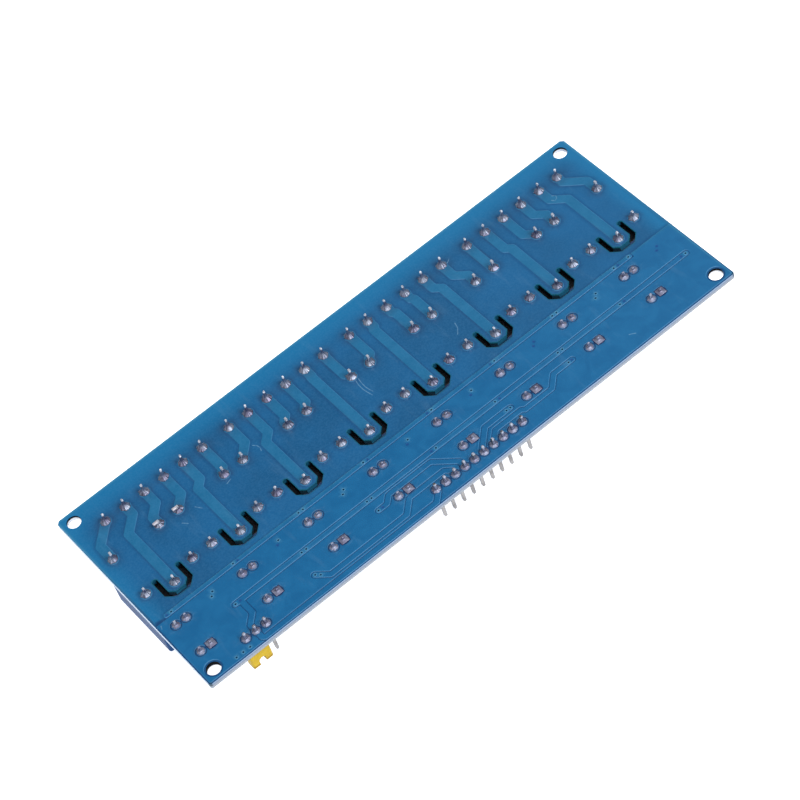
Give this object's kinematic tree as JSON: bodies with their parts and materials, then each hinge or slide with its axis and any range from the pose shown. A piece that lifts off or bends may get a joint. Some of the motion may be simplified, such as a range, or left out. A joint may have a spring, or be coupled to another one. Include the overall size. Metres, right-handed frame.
{
  "type": "relay board",
  "caption": "Long blue circuit board carrying sealed power relays, optocouplers, screw terminals and pin headers, lying on its relay lids with the soldered side up.",
  "frame": {"origin": "centre of the board outline, in the plane of the relay lids that the board rests on", "axes": "+X along the board, away from the end that carries the supply header and its jumper; +Y towards the screw terminals; +Z out of the soldered side"},
  "size_m": [0.1386, 0.0566, 0.0195],
  "materials": {
    "laminate": "satin blue solder mask over glass laminate",
    "masked_copper": "blue solder mask over copper",
    "relay_case": "moulded blue plastic",
    "terminal_plastic": "moulded blue plastic",
    "black_plastic": "moulded black plastic",
    "tinned_metal": "tinned",
    "plated_steel": "nickel plated",
    "clip_metal": "bare",
    "yellow_plastic": "moulded yellow plastic",
    "led_plastic": "tinted clear resin",
    "solder": "bright solder"
  },
  "bodies": {
    "root": {"circuit_board": "laminate", "power_tracks": "masked_copper", "control_copper": "masked_copper", "relay_1": "relay_case", "relay_2": "relay_case", "relay_3": "relay_case", "relay_4": "relay_case", "relay_5": "relay_case", "relay_6": "relay_case", "relay_7": "relay_case", "relay_8": "relay_case", "relay_contact_pins": "tinned_metal", "relay_coil_pins": "tinned_metal", "terminal_block_1": "terminal_plastic", "terminal_block_2": "terminal_plastic", "terminal_block_3": "terminal_plastic", "terminal_block_4": "terminal_plastic", "terminal_block_5": "terminal_plastic", "terminal_block_6": "terminal_plastic", "terminal_block_7": "terminal_plastic", "terminal_block_8": "terminal_plastic", "terminal_clamps": "plated_steel", "terminal_screws": "plated_steel", "terminal_pins": "tinned_metal", "optocoupler_1": "black_plastic", "optocoupler_2": "black_plastic", "optocoupler_3": "black_plastic", "optocoupler_4": "black_plastic", "optocoupler_5": "black_plastic", "optocoupler_6": "black_plastic", "optocoupler_7": "black_plastic", "optocoupler_8": "black_plastic", "optocoupler_leads": "tinned_metal", "input_header_body": "black_plastic", "input_header_pins": "tinned_metal", "supply_header_body": "black_plastic", "supply_header_pins": "tinned_metal", "jumper_cap": "yellow_plastic", "jumper_clip": "clip_metal", "driver_transistors": "black_plastic", "transistor_leads": "tinned_metal", "flyback_diodes": "black_plastic", "diode_tabs": "tinned_metal", "indicator_leds": "led_plastic", "chip_resistors": "black_plastic", "contact_solder": "solder", "coil_solder": "solder", "terminal_solder": "solder", "optocoupler_solder": "solder", "header_solder": "solder"}
  },
  "joints": []
}
